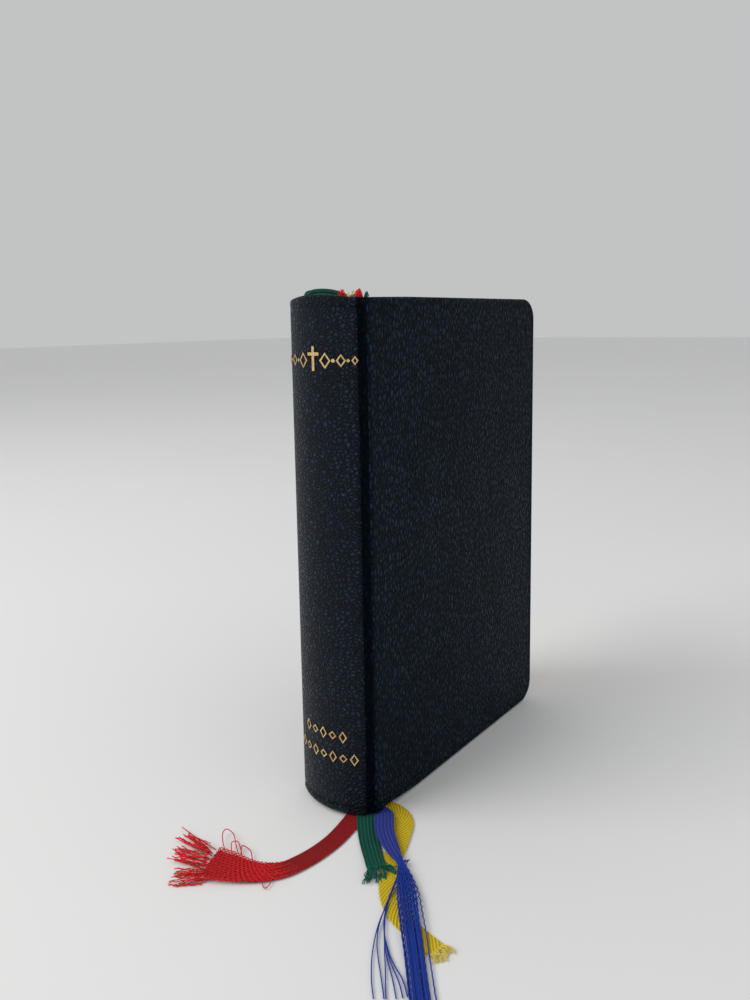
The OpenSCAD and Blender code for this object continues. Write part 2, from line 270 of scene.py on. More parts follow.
def gilt_paper():
    """Thin paper whose cut edges are gilt: the gold is on faces that look up, down or away from the fold."""
    s = Shader("gilt_paper")
    place = s.place()
    sides = s.split(s.normal())
    flat = s.spread(s.math("ABSOLUTE", sides[1]), 0.6, 0.9)
    leaves = s.node("ShaderNodeTexWave", wave_type="BANDS", bands_direction="Y")
    s.join(place, leaves.inputs["Vector"])
    for key, number in (("Scale", 1100), ("Distortion", 1.2), ("Detail", 2), ("Detail Scale", 0.4)):
        leaves.inputs[key].default_value = number
    stain = s.noise(place, 60, 5, 0.6)
    gold = s.mix(s.math("MULTIPLY", leaves.outputs["Fac"], 0.55), (0.80, 0.58, 0.25), (0.50, 0.33, 0.13))
    gold = s.mix(s.spread(stain, 0.45, 0.75, 0.0, 0.5), gold, (0.62, 0.40, 0.20))
    paper = s.mix(s.spread(stain, 0.35, 0.75), (0.86, 0.81, 0.69), (0.80, 0.73, 0.58))
    colour = s.mix(flat, gold, paper)
    metal = s.spread(flat, 0.0, 1.0, 0.9, 0.0)
    rough = s.spread(flat, 0.0, 1.0, 0.36, 0.85)
    normal = s.bump(leaves.outputs["Fac"], 0.00006, 0.5)
    return s.finish(Base_Color=colour, Metallic=metal, Roughness=rough, Normal=normal)


def paper(name, light, dark, roughness=0.85):
    """Uncoated paper or card with faint fibres."""
    s = Shader(name)
    place = s.place()
    fibres = s.noise(place, 900, 5, 0.7, 0.6)
    broad = s.noise(place, 45, 4, 0.6)
    tone = s.math("ADD", s.math("MULTIPLY", fibres, 0.5), s.math("MULTIPLY", broad, 0.5))
    colour = s.mix(s.spread(tone, 0.35, 0.65), light, dark)
    return s.finish(Base_Color=colour, Roughness=roughness, Normal=s.bump(fibres, 0.00004, 0.6))


def woven(name, light, dark, pitch_per_m, roughness=0.8):
    """Plain open weave, such as mull cloth."""
    s = Shader(name)
    parts = s.split(s.place(scale=(pitch_per_m, pitch_per_m, pitch_per_m)))
    across = s.math("SINE", s.math("MULTIPLY", parts[1], math.tau))
    down = s.math("SINE", s.math("MULTIPLY", parts[2], math.tau))
    weave = s.math("MULTIPLY_ADD", s.math("MULTIPLY", across, down), 0.5, 0.5)
    colour = s.mix(weave, dark, light)
    return s.finish(Base_Color=colour, Roughness=roughness, Normal=s.bump(weave, 0.0001, 0.7))


def headband_cloth():
    """Two colours of thread wound over a core, in slanted stripes."""
    s = Shader("headband_cloth")
    parts = s.split(s.place())
    run = s.math("ADD", parts[1], s.math("MULTIPLY", parts[2], 0.35))
    stripes = s.math("SINE", s.math("MULTIPLY", run, math.tau / 0.0022))
    threads = s.math("SINE", s.math("MULTIPLY", run, math.tau / 0.00036))
    colour = s.mix(s.spread(stripes, -0.12, 0.12), (0.80, 0.76, 0.66), (0.30, 0.035, 0.035))
    height = s.math("MULTIPLY_ADD", threads, 0.5, 0.5)
    return s.finish(Base_Color=colour, Roughness=0.6, Normal=s.bump(height, 0.00012, 0.8))


THREAD_SHEEN = 0.02
THREAD_GLOSS = 0.2
THREAD_ROUGHNESS = 0.55


def ribbon_cloth(name, light, dark, weave):
    """Ribbon. along and across are the mesh's own measures, in millimetres. Its colour is lighter on the
    weave's raised cords and darker between them, as painted highlight and shade, with random unevenness.
    """
    s = Shader(name)
    along = s.attribute("along")
    across = s.attribute("across")
    if weave == "ribbed":
        picks = s.math("SINE", s.math("MULTIPLY", along, math.tau / 0.42))
        cords = s.math("SINE", s.math("MULTIPLY", across, math.tau / 1.15))
        height = s.math("ADD", s.math("MULTIPLY", picks, 0.35), s.math("MULTIPLY", cords, 0.65))
    elif weave == "diagonal":
        slant = s.math("ADD", s.math("MULTIPLY", along, 0.8), across)
        picks = s.math("SINE", s.math("MULTIPLY", slant, math.tau / 1.15))
        threads = s.math("SINE", s.math("MULTIPLY", along, math.tau / 0.3))
        height = s.math("ADD", s.math("MULTIPLY", picks, 0.85), s.math("MULTIPLY", threads, 0.15))
    else:
        rows = s.math("SINE", s.math("MULTIPLY", along, math.tau / 0.55))
        stitches = s.math("SINE", s.math("MULTIPLY", across, math.tau / 0.55))
        height = s.math("MULTIPLY", rows, stitches)
    tone = s.math("MULTIPLY_ADD", height, 0.5, 0.5)
    uneven = s.noise(s.place(), 500, 3, 0.6)
    # Painted highlight and shade: the colour is lighter where the weave stands up and darker where it sinks,
    # plus random unevenness.
    colour = s.mix(s.math("MULTIPLY_ADD", tone, 0.7, s.math("MULTIPLY", uneven, 0.3)), dark, light)
    normal = s.bump(tone, 0.00025, 0.9)
    return s.finish(Base_Color=colour, Roughness=THREAD_ROUGHNESS, Normal=normal, Sheen_Weight=THREAD_SHEEN,
                    Sheen_Roughness=0.4, Specular_IOR_Level=THREAD_GLOSS)


def yarn(name, light, dark, roughness=THREAD_ROUGHNESS):
    """Loose threads pulled out of a ribbon."""
    s = Shader(name)
    uneven = s.noise(s.place(), 2600, 3, 0.6)
    return s.finish(Base_Color=s.mix(uneven, dark, light), Roughness=roughness, Sheen_Weight=THREAD_SHEEN,
                    Specular_IOR_Level=THREAD_GLOSS)


def floor_paint():
    s = Shader("floor_paint")
    broad = s.noise(s.place(), 6, 3, 0.5)
    return s.finish(Base_Color=s.mix(broad, (0.86, 0.86, 0.86), (0.89, 0.89, 0.885)), Roughness=0.7)


SPINE_LEATHER = leather("spine_grain", (0.0006, 0.0022, 0.0060), (0.017, 0.042, 0.082), 1.25, (0.15, 0.38),
                        0.130, 2.8)
COVER_LEATHER = leather("cover_grain", (0.0007, 0.0032, 0.0070), (0.011, 0.039, 0.078), 0.60, (0.30, 0.55),
                        0.060, 2.8, 1.22)
# Painted shade: a darker copy of the leather for the spine's edges in the grooves. Its low gloss is the
# pressed leather's, and its dark colour stands in for the grooves' shade.
GROOVE_SHADE_LEATHER = leather("groove_shade_grain", (0.0004, 0.0014, 0.0034), (0.0030, 0.0070, 0.0150), 0.62, (0.45, 0.6),
                        0.030, 1.0)
GOLD = gold_foil()
GILT_PAPER = gilt_paper()
BOARD = paper("millboard", (0.42, 0.37, 0.30), (0.33, 0.28, 0.22))
CARD = paper("card", (0.66, 0.60, 0.48), (0.58, 0.52, 0.40))
ENDPAPER = paper("endpaper", (0.020, 0.022, 0.028), (0.012, 0.013, 0.018), 0.72)
KRAFT = paper("kraft", (0.50, 0.36, 0.21), (0.40, 0.28, 0.16))
MULL = woven("mull", (0.84, 0.80, 0.70), (0.62, 0.57, 0.46), 900)
THREAD = yarn("linen_thread", (0.88, 0.85, 0.76), (0.74, 0.70, 0.60), 0.7)
HEADBAND = headband_cloth()

# Each ribbon's cloth and its loose threads.
RIBBONS = {
    # The red cloth is darker than its yarn: partly the ribbon's own colour, partly painted shade where it
    # shows in the gaps of the open knit.
    "red": (ribbon_cloth("red_ribbon", (0.50, 0.008, 0.012), (0.15, 0.001, 0.003), "knit"),
            yarn("red_yarn", (0.84, 0.022, 0.026), (0.50, 0.008, 0.012))),
    "green": (ribbon_cloth("green_ribbon", (0.006, 0.12, 0.080), (0.001, 0.034, 0.024), "ribbed"),
              yarn("green_yarn", (0.008, 0.17, 0.110), (0.002, 0.065, 0.045))),
    "blue": (ribbon_cloth("blue_ribbon", (0.052, 0.078, 0.42), (0.010, 0.018, 0.14), "ribbed"),
             yarn("blue_yarn", (0.018, 0.066, 0.46), (0.005, 0.018, 0.17))),
    "yellow": (ribbon_cloth("yellow_ribbon", (0.96, 0.72, 0.030), (0.42, 0.28, 0.005), "diagonal"),
               yarn("yellow_yarn", (0.92, 0.76, 0.16), (0.64, 0.48, 0.05))),
}


# ---- Mesh helpers ----

def new_mesh(name, points, faces, material, smooth=True, measures=None):
    """A mesh object from points in book millimetres. measures is {attribute: one value per point}."""
    points = np.asarray(points, float).reshape(-1, 3) * MM
    points[:, 0] += TURN_X
    data = bpy.data.meshes.new(name)
    data.from_pydata(points.tolist(), [], [tuple(map(int, f)) for f in faces])
    data.validate()
    for key, values in (measures or {}).items():
        layer = data.attributes.new(key, "FLOAT", "POINT")
        layer.data.foreach_set("value", np.asarray(values, np.float32).ravel())
    data.materials.append(material)
    data.update()
    obj = bpy.data.objects.new(name, data)
    bpy.context.scene.collection.objects.link(obj)
    for polygon in data.polygons:
        polygon.use_smooth = smooth
    outwards(obj)
    return obj


def outwards(obj):
    """Turns a closed mesh's faces to look outwards."""
    work = bmesh.new()
    work.from_mesh(obj.data)
    bmesh.ops.recalc_face_normals(work, faces=work.faces)
    work.to_mesh(obj.data)
    work.free()


def ring_faces(rings, size):
    """Faces of a tube, closed at its ends, whose rings have size points each."""
    faces = []
    for i in range(rings - 1):
        for k in range(size):
            a, b = i * size + k, i * size + (k + 1) % size
            faces.append((a, b, b + size, a + size))
    faces.append(tuple(range(size - 1, -1, -1)))
    faces.append(tuple(range((rings - 1) * size, rings * size)))
    return faces


def smooth_line(points, step=1.0):
    """A smooth curve through points, as points about step apart. Each point may carry more columns."""
    points = np.asarray(points, float)
    padded = np.vstack([2 * points[0] - points[1], points, 2 * points[-1] - points[-2]])
    found = []
    for i in range(1, len(padded) - 2):
        p0, p1, p2, p3 = padded[i - 1:i + 3]
        count = max(2, int(np.linalg.norm((p2 - p1)[:3]) / step) + 1)
        for k in range(count):
            t = k / count
            found.append(0.5 * (2 * p1 + (p2 - p0) * t + (2 * p0 - 5 * p1 + 4 * p2 - p3) * t**2
                                + (3 * p1 - p0 - 3 * p2 + p3) * t**3))
    found.append(points[-1])
    return np.array(found)


def unit(v):
    return v / np.maximum(np.linalg.norm(v, axis=-1, keepdims=True), 1e-9)


def smooth_step(v, low, high):
    """Eases from 0 at low to 1 at high."""
    share = np.clip((np.asarray(v, float) - low) / (high - low), 0, 1)
    return share * share * (3 - 2 * share)


def run_of(line):
    """Distance along a line at each of its points."""
    return np.concatenate([[0], np.cumsum(np.linalg.norm(np.diff(line, axis=0), axis=1))])


def square_to(line, across):
    """The across directions made square to the line."""
    along = unit(np.gradient(line, axis=0))
    return unit(across - along * np.sum(across * along, axis=1, keepdims=True))


def resampled(values, count):
    """Rows of values, as count rows evenly spread over them."""
    at_rows = np.linspace(0, len(values) - 1, count)
    return np.stack([np.interp(at_rows, np.arange(len(values)), column) for column in values.T], axis=1)


def offset_line(line, sides, sideways, rise):
    """A line moved sideways and up by a distance for each point."""
    return line + sides * sideways[:, None] + np.array([0, 0, 1.0]) * rise[:, None]


def thread_shape(lines, radius, sides=5):
    """Fine round threads along the given lines, as (points, faces, along, across)."""
    points, faces, runs, turns, base = [], [], [], [], 0
    for index, line in enumerate(lines):
        line = np.asarray(line, float)
        along = unit(np.gradient(line, axis=0))
        side = unit(np.cross(along, np.array([0.31, 0.17, 0.93])))
        up = np.cross(along, side)
        angles = np.arange(sides) * math.tau / sides
        around = np.cos(angles)[:, None] * side[:, None] + np.sin(angles)[:, None] * up[:, None]
        points.append((line[:, None] + radius * around).reshape(-1, 3))
        faces += [tuple(base + v for v in f) for f in ring_faces(len(line), sides)]
        runs.append(np.repeat(run_of(line), sides))
        turns.append(np.full(len(line) * sides, index * 0.41))
        base += len(line) * sides
    return np.vstack(points), faces, np.concatenate(runs), np.concatenate(turns)


def shape_mesh(name, shapes, material, loose=None):
    """One mesh of several shapes, with their measures as attributes. All but the first take the loose
    material, if there is one."""
    points, faces, base = [], [], 0
    for shape in shapes:
        points.append(shape[0])
        faces += [tuple(base + v for v in f) for f in shape[1]]
        base += len(shape[0])
    obj = new_mesh(name, np.vstack(points), faces, material,
                   measures={"along": np.concatenate([s[2] for s in shapes]),
                             "across": np.concatenate([s[3] for s in shapes])})
    if loose is not None:
        obj.data.materials.append(loose)
        first = len(shapes[0][0])
        for polygon in obj.data.polygons:
            polygon.material_index = int(polygon.vertices[0] >= first)
    return obj


# ---- Ribbons ----

SECTION_PITCH = (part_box("leaves_15")[0][1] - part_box("leaves_14")[0][1]) / MM
SECTION_T = SECTION_PITCH - 0.04
CHANNEL_D = 0.3
THREAD_LOW = 0.14  # the lowest that a loose thread's middle lies


def channel_y(section):
    """Where a ribbon lies, in the channel of the section that it marks."""
    return (section - MIDDLE) * SECTION_PITCH - SECTION_T / 2 + CHANNEL_D / 2


# Colour: section, middle in the gutter, angle round the spine, top of the loop over the head.
MARKERS = {
    "red": (MIDDLE - 4, 2.8, -9.5, 169.8),
    "green": (MIDDLE - 6, 2.8, 9.5, 173.4),
    "blue": (MIDDLE - 8, 2.8, -28.5, 170.2),
    "yellow": (MIDDLE - 2, 5.7, 28.5, 169.8),
}

# Free tails: x, y from the ribbon's channel, z, direction of the width as an angle from +X, width.
ROUTES = {
    "red": [
        [2.8, 0, 3, 0, 6.6], [2.8, -0.25, 1.7, 0, 6.6], [2.7, -1.2, 0.62, -6, 6.6],
        [2.0, -3.1, 0.42, -24, 6.6], [0.1, -4.9, 0.42, -52, 6.6], [-2.8, -5.9, 0.42, -74, 6.6],
        [-7, -6.9, 0.32, -80, 6.6], [-12, -7.8, 0.2, -82, 6.6], [-17.6, -8.4, 0.2, -88, 6.6],
        [-24, -8.2, 0.2, -94, 6.7], [-30, -7.3, 0.3, -100, 6.8], [-35.6, -5.6, 0.4, -112, 7],
        [-40, -2.4, 0.5, -132, 7.6], [-43, 1.6, 0.6, -148, 8.8], [-45.2, 6, 0.8, -154, 10],
        [-47, 10.6, 1, -156, 11], [-48.9, 15.2, 1.2, -156, 11.5], [-51.3, 20, 1.2, -154, 11.5],
        [-54.4, 25.6, 1, -152, 11]],
    "green": [
        [2.8, 0, 3, 0, 6.6], [2.8, -0.25, 1.9, 0, 6.6], [2.7, -1.2, 0.92, -4, 6.6],
        [2.1, -3, 0.71, -14, 6.6], [0.4, -5.3, 0.7, -32, 6.6], [-1.8, -7.5, 0.7, -42, 6.6],
        [-4.8, -10.1, 0.6, -46, 6.5], [-8.6, -13.7, 0.32, -46, 6.4], [-12.3, -17.6, 0.42, -45, 6.2],
        [-15.8, -21.6, 0.6, -45, 6], [-19, -25.4, 0.76, -46, 6], [-20.9, -27.8, 0.78, -46, 5.6],
        [-22.6, -29.9, 0.78, -46, 5.2]],
    "blue": [
        [2.8, 0, 3, 0, 6.6], [2.8, -0.25, 2.1, 0, 6.6], [2.8, -1.2, 1.2, 0, 6.6], [2.8, -3, 0.99, 0, 6.6],
        [3, -5.4, 0.99, -1, 5.8], [3, -7.4, 1.05, -6, 5.6], [2.7, -9, 1.2, -27, 5.8],
        [1.4, -10.4, 1.6, -46, 6.2], [-0.9, -12.1, 1.9, -50, 6.4], [-4, -14.5, 2.1, -48, 6.3],
        [-6.9, -17.5, 2.1, -44, 6],
        [-9.4, -20.9, 2, -46, 5.2], [-11.8, -24.8, 1.8, -48, 3.8], [-13.8, -28.4, 1.5, -46, 2.2],
        [-17, -32, 1.4, -45, 4.6], [-22.4, -37.2, 1.3, -42, 6.8], [-29, -43, 1.2, -42, 7],
        [-37, -50.2, 0.8, -42, 7.2], [-46, -58.2, 0.5, -42, 8.4], [-54, -65.4, 0.4, -42, 9]],
    "yellow": [
        [5.7, 0, 3, 0, 6.6], [5.7, -0.25, 1.5, 0, 6.6], [5.7, -1.2, 0.3, 0, 6.6],
        [5.8, -3.6, 0.15, 2, 6.6], [6.2, -7.4, 0.15, 3, 6.6], [6.9, -11.2, 0.15, 2, 6.6],
        [7.2, -15.2, 0.2, -6, 6.6], [6.4, -19, 0.3, -24, 6.6], [3.6, -22.6, 0.35, -48, 6.6],
        [-0.6, -25.2, 0.35, -62, 6.2], [-6.4, -27.8, 0.3, -68, 6.2], [-13, -30.6, 0.2, -64, 6.2],
        [-19.8, -34.8, 0.2, -54, 6.2], [-26, -40, 0.2, -40, 6], [-30, -46, 0.2, -22, 5.8],
        [-32, -53, 0.2, -12, 5.6], [-33.6, -61.5, 0.3, -10, 5.6]],
}

# Raised cords across each ribbon.
CORDS_ACROSS = {"red": 12, "green": 6, "blue": 6, "yellow": 9}


def tail_line(colour, step=0.8):
    """The smooth middle line of a tail, with its width direction and width at each point."""
    route = np.array(ROUTES[colour], float)
    route[:, 1] += channel_y(MARKERS[colour][0])
    fine = smooth_line(route, step)
    angle = np.radians(fine[:, 3])
    across = np.stack([np.cos(angle), np.sin(angle), np.zeros(len(fine))], axis=1)
    return fine[:, :3], across, fine[:, 4]


def ribbon_shape(line, across, width, cords, columns=37):
    """A flat ribbon with raised cords along it, closed all round, as (points, faces, along, across)."""
    along, across = unit(np.gradient(line, axis=0)), square_to(line, across)
    face = np.cross(along, across)
    run = run_of(line)
    u = np.linspace(-1, 1, columns)
    relief = 0.5 + 0.5 * np.cos(math.pi * cords * (u + 1) + math.pi)
    edge = np.sqrt(np.clip(1 - np.abs(u) ** 12, 0, 1))
    half = (0.5 * RIBBON_T * (0.35 + 0.65 * relief) * edge)[None, :, None]
    middle = line[:, None, :] + across[:, None, :] * (u[None, :, None] * width[:, None, None] / 2)
    upper = middle + face[:, None, :] * half
    lower = (middle - face[:, None, :] * half)[:, ::-1]
    rings = np.concatenate([upper, lower], axis=1)
    size = 2 * columns
    measure_u = np.concatenate([u, u[::-1]])[None, :] * width[:, None] / 2
    return (rings.reshape(-1, 3), ring_faces(len(line), size), np.repeat(run[:, None], size, axis=1).ravel(),
            measure_u.ravel())


def wavy(line, size, waves, phase):
    """A thread's line with crimps to either side and a little up and down."""
    line = np.asarray(line, float)
    run = run_of(line)
    along = unit(np.gradient(line, axis=0))
    side = unit(np.cross(along, np.array([0, 0, 1.0])))
    swing = np.sin(run * waves + phase)[:, None] * size
    rise = np.cos(run * waves * 0.83 + 1.7 * phase)[:, None] * size * 0.5
    bent = line + side * swing + np.array([0, 0, 1.0]) * rise
    bent[:, 2] = np.maximum(bent[:, 2], THREAD_LOW)
    return bent


def fan(start, forward, side, width, tips, count, length, bunches, crimp, points=22):
    """Threads from a ribbon's cut end that gather in bunches. tips is how wide the bunches' ends spread."""
    made = []
    for k in range(count):
        u = (k + 0.5) / count * 2 - 1
        bunch = (math.floor((u + 1) / 2 * bunches) + 0.5) / bunches * 2 - 1
        foot = start + side * u * width / 2 - forward * 0.8
        reach = length * (0.82 + 0.18 * math.cos(5 * bunch + 1)) * rng.uniform(0.85, 1.08)
        tip = start + forward * reach + side * (bunch * tips / 2 + rng.normal(0, 0.45))
        knee = start + forward * reach * 0.5 + side * (0.55 * bunch + 0.45 * u) * (width + tips) / 4
        s = np.linspace(0, 1, points)[:, None]
        path = (1 - s) ** 2 * foot + 2 * (1 - s) * s * knee + s**2 * tip
        path[:, 2] = start[2] * (1 - s[:, 0]) + 0.2 + rng.uniform(0, 1.1) * np.sin(math.pi * s[:, 0])
        made.append(wavy(path, crimp * rng.uniform(0.3, 1), rng.uniform(1.0, 2.2), rng.uniform(0, 6)))
    return made


def tuft(foot, tip, count, spread, crimp=0.22, foot_spread=0.5):
    """A small brush of matted threads between two places."""
    foot, tip = np.array(foot, float), np.array(tip, float)
    made = []
    for _ in range(count):
        a, b = foot + rng.normal(0, foot_spread, 3), tip + rng.normal(0, spread, 3)
        s = np.linspace(0, 1, 12)[:, None]
        path = a + (b - a) * s * rng.uniform(0.6, 1.0)
        path += rng.normal(0, 0.35, 3) * np.sin(math.pi * s)
        path[:, 2] = np.maximum(path[:, 2], THREAD_LOW)
        made.append(wavy(path, crimp * rng.uniform(0.4, 1), rng.uniform(2, 4), rng.uniform(0, 6)))
    return made


def within(path, lines, reach):
    """Splits threads into those that stay within reach of a path, and the others."""
    near, far = [], []
    for line in lines:
        gap = np.linalg.norm(line[:, None, :2] - path[None, :, :2], axis=2).min(axis=1).max()
        (near if gap <= reach else far).append(line)
    return near, far


def ride_spine(obj, node=None):
    """Puts a piece of ribbon on the spine's body, in place of a CAD node if one is named."""
    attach(obj, "spine")
    if node:
        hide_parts(node)
    return obj


def declare_tail(colour, shapes, extras):
    cloth, loose = RIBBONS[colour]
    obj = ride_spine(shape_mesh(f"ribbon_{colour}", shapes, cloth, loose), f"ribbon_{colour}_tail")
    pieces = [ride_spine(shape_mesh(name, [thread_shape(lines, radius)], loose))
              for name, lines, radius in extras]


def end_of(line, across):
    """Where a line ends, which way it points there, and its width direction square to that."""
    forward = unit(line[-1] - line[-4])
    side = across[-1] - forward * float(across[-1] @ forward)
    return line[-1], forward, unit(side)


# How far from the red tail's end its threads part, and how far from it the knit starts to open.
RED_FRAY, RED_OPEN = 13.0, 42.0
RED_CHAINS = 12

# Where each bunch of the opened end starts and stops.
RED_BUNCHES = [((-44.4, 15.6), (-43.4, 29.0)), ((-45.8, 13.8), (-47.0, 28.6)),
               ((-47.4, 11.9), (-51.4, 25.6)), ((-49.2, 9.7), (-54.0, 21.6)),
               ((-51.2, 7.3), (-57.6, 15.9)), ((-53.0, 5.2), (-60.2, 13.0))]


def make_red():
    """Fine knit that grows coarse and wide, then opens into bunches of threads, with pulled loops along its
    edges."""
    line, across, width = tail_line("red")
    left = run_of(line)[-1] - run_of(line)
    kept = left >= RED_FRAY
    body = line[kept]
    # The cloth runs on under the coarse knit's chains, and its darker red in the gaps between them is
    # painted shade.
    shapes = [ribbon_shape(body, across[kept], width[kept], 13)]
    coarse = kept & (left < RED_OPEN)
    bed = line[coarse]
    steps = 6 * len(bed)
    spots, sides = resampled(bed, steps), unit(resampled(square_to(bed, across[coarse]), steps))
    widths = resampled(width[coarse][:, None], steps)[:, 0]
    run, chains = run_of(spots), []
    grow = smooth_step(run, 0, 12)
    spread = 1 + 0.26 * smooth_step(run, 12, 24)
    for k in range(RED_CHAINS):
        u = (k + 0.5) / RED_CHAINS * 2 - 1
        for phase in (0, math.pi):
            swing = (0.36 + 0.12 * grow) * np.sin(run * math.tau / 2.8 + phase + 0.9 * k)
            rise = 0.34 * grow - 0.06 + 0.12 * np.cos(run * math.tau / 1.15 + phase)
            chain = offset_line(spots, sides, u * widths / 2 * 0.97 * spread + swing * grow, rise)
            first = (5 * k % 13) * 0.75 + (2.5 if phase else 0)
            chains.append(chain[run >= first])
    opened = []
    for foot, tip in RED_BUNCHES:
        opened += tuft((*foot, 0.6), (*tip, 0.7), 12, 0.9, 0.22, 1.1)
    near, far = within(line, opened, 5.2)
    shapes.append(thread_shape(near, 0.15))
    loops = [
        [(-41.8, 9.6, 0.8), (-39.8, 13.2, 1.2), (-37.2, 16.4, 1.6), (-35.0, 17.0, 1.7), (-35.0, 13.8, 1.3),
         (-37.4, 10.0, 1.0), (-39.6, 6.6, 0.8)],
        [(-40.6, 8.4, 0.8), (-38.2, 11.0, 1.3), (-36.6, 9.8, 1.2), (-39.4, 5.0, 0.8)],
        [(-39.6, 5.2, 0.8), (-37.0, 7.4, 1.2), (-37.0, 3.8, 1.1), (-39.2, 0.4, 0.7)],
        [(-41.6, -8.0, 0.5), (-44.2, -9.2, 0.5), (-45.0, -11.2, 0.5), (-42.6, -10.9, 0.5),
         (-40.6, -9.0, 0.5)],
    ]
    extras = [("fringe_red", far, 0.15), ("knit_red", chains, 0.16),
              ("loops_red", [smooth_line(loop, 0.3) for loop in loops], 0.16)]
    declare_tail("red", shapes, extras)


GREEN_FRAY = 5.6


def make_green():
    """Ribbed ribbon that ends in two matted tufts."""
    line, across, width = tail_line("green")
    kept = run_of(line)[-1] - run_of(line) >= GREEN_FRAY
    start, forward, side = end_of(line[kept], across[kept])
    shapes = [ribbon_shape(line[kept], across[kept], width[kept], 6)]
    shapes.append(thread_shape(fan(start, forward, side, 6.0, 4.6, 22, 5.6, 4, 0.3, 14), 0.13))
    left, right = start - side * 2.2, start + side * 2.0
    brush = tuft(left, (-26.0, -33.6, 0.6), 20, 0.7) + tuft(right, (-16.4, -37.2, 0.7), 22, 0.7)
    declare_tail("green", shapes, [("fringe_green", brush, 0.13)])


BLUE_NECK = 2.4  # the width at which the cloth ends
BLUE_THREADS = 30


def make_blue():
    """Ribbed ribbon, twisted into a neck, beyond which only its crimped threads are left."""
    line, across, width = tail_line("blue")
    neck = int(np.argmax((width < BLUE_NECK) & (run_of(line) > 10)))
    shapes = [ribbon_shape(line[:neck + 2], across[:neck + 2], width[:neck + 2], 6)]
    rest, half = line[neck - 2:], width[neck - 2:] / 2
    side = square_to(rest, across[neck - 2:])
    run, strands = run_of(rest), []
    narrow = 0.84 - 0.26 * smooth_step(run, 15, 50)
    for k in range(BLUE_THREADS):
        u = (k + 0.5) / BLUE_THREADS * 2 - 1
        drift = rng.normal(0, 0.5) * np.clip(run / 30, 0, 1)
        crimp = rng.uniform(0.10, 0.24) * np.exp(-((run - 12) / 12) ** 2) + 0.05
        swing = crimp * np.sin(run * rng.uniform(2.2, 3.2) + rng.uniform(0, 6))
        rise = 0.22 * (k % 3) - 0.1 + 0.4 * crimp * np.cos(run * 2.6 + k)
        strand = offset_line(rest, side, u * half * narrow + drift + swing, rise)
        strand[:, 2] = np.maximum(strand[:, 2], 0.2)
        strands.append(strand[:len(strand) - int(rng.integers(0, 5))])
    shapes.append(thread_shape(strands, 0.19, 6))
    strays = [
        [(-13.6, -37.4, 1.4), (-22.6, -40.7, 1.1), (-30.1, -43.6, 0.8), (-37.2, -46.4, 0.5),
         (-44.6, -50.6, 0.3), (-50.8, -55.3, 0.3), (-55, -59.3, 0.3)],
        [(-22.6, -40.7, 0.8), (-29.8, -44, 0.7), (-36, -47.8, 0.6), (-42.4, -53.4, 0.4), (-47.6, -59.4, 0.3),
         (-51.7, -63.7, 0.3)],
    ]
    lines = [smooth_line(stray, 0.8) for stray in strays]
    share = np.linspace(0, 1, 60)
    outer, inner = [resampled(stray, len(share)) for stray in lines]
    for mix in (0.36, 0.66, 1.25, 1.5):
        sway = np.stack([0.5 * np.sin(share * 7 + 5 * mix), 0.5 * np.cos(share * 6 + 9 * mix), 0 * share],
                        axis=1)
        lines.append(outer * (1 - mix) + inner * mix + sway * smooth_step(share, 0, 0.3)[:, None])
    knot = tuft((-13.4, -36.6, 1.6), (-10.8, -38.2, 1.4), 9, 0.35, 0.15, 0.25)
    declare_tail("blue", shapes, [("strays_blue", lines, 0.17), ("tuft_blue", knot, 0.1)])


def make_yellow():
    line, across, width = tail_line("yellow")
    start, forward, side = end_of(line, across)
    brush = fan(start, forward, side, width[-1], 7, 30, 3.2, 6, 0.4, 12)
    declare_tail("yellow", [ribbon_shape(line, across, width, 9)], [("fringe_yellow", brush, 0.12)])


make_red()
make_green()
make_blue()
make_yellow()


def bezier(a, b, c, d, t):
    return (1 - t) ** 3 * a + 3 * (1 - t) ** 2 * t * b + 3 * (1 - t) * t**2 * c + t**3 * d


# How much narrower a ribbon is at the top of its loop, and the width of the green one's arch.
LOOP_PINCH = 1.6
GREEN_ARCH_W = 4.2

def make_marker(colour):
    """The part of a ribbon that the book holds: up the spine, over the head, down the gutter. The green one
    arches on edge over the head, and the others lie low behind the leather."""
    section, middle, angle, top = MARKERS[colour]
    a = math.radians(angle)
    tab = np.array([SPINE_X - TAB_R * math.cos(a), TAB_R * math.sin(a), SPINE_Z1 - 0.6])
    into = np.array([middle, channel_y(section), PAGE_Z1 + 0.2])
    arch = colour == "green"
    peak = top - 3.6 if arch else top - 1.3
    lift = np.array([0, 0, (peak - into[2]) * 4 / 3])
    t = np.linspace(0, 1, 48)[:, None]
    loop = bezier(tab, tab + lift * 0.8, into + lift, into, t)
    start = np.array([[tab[0], tab[1], z] for z in np.linspace(151, tab[2] - 1, 12)])
    down = np.array([[middle, into[1], z] for z in np.linspace(into[2] - 1, PAGE_Z0, 80)])
    line = np.vstack([start, loop, down])
    first = np.array([math.sin(a), math.cos(a), 0.0]) * (-1 if angle < 0 else 1)
    turned = (1 - t) * first + t * np.array([1.0, 0, 0])
    pinch = LOOP_PINCH * np.sin(math.pi * t[:, 0])
    if arch:
        level = unit(np.array([into[0] - tab[0], into[1] - tab[1], 0.0]))
        plane = np.cross(level, [0, 0, 1.0])
        flat = unit(np.cross(np.gradient(loop, axis=0), plane))
        flat *= math.copysign(1.0, float(flat[0] @ first))
        share = (smooth_step(t, 0, 0.22) * smooth_step(-t, -1, -0.78))
        turned = unit((1 - share) * turned + share * flat)
        pinch = (RIBBON_W - GREEN_ARCH_W) * share[:, 0]
    across = np.vstack([np.tile(first, (len(start), 1)), turned, np.tile([1.0, 0, 0], (len(down), 1))])
    width = np.concatenate([np.full(len(start), RIBBON_W), RIBBON_W - pinch, np.full(len(down), RIBBON_W)])
    shape = ribbon_shape(line, across, width, CORDS_ACROSS[colour])
    obj = shape_mesh(f"marker_{colour}", [shape], RIBBONS[colour][0])
    ride_spine(obj, f"ribbon_{colour}_marker")


for colour in MARKERS:
    make_marker(colour)

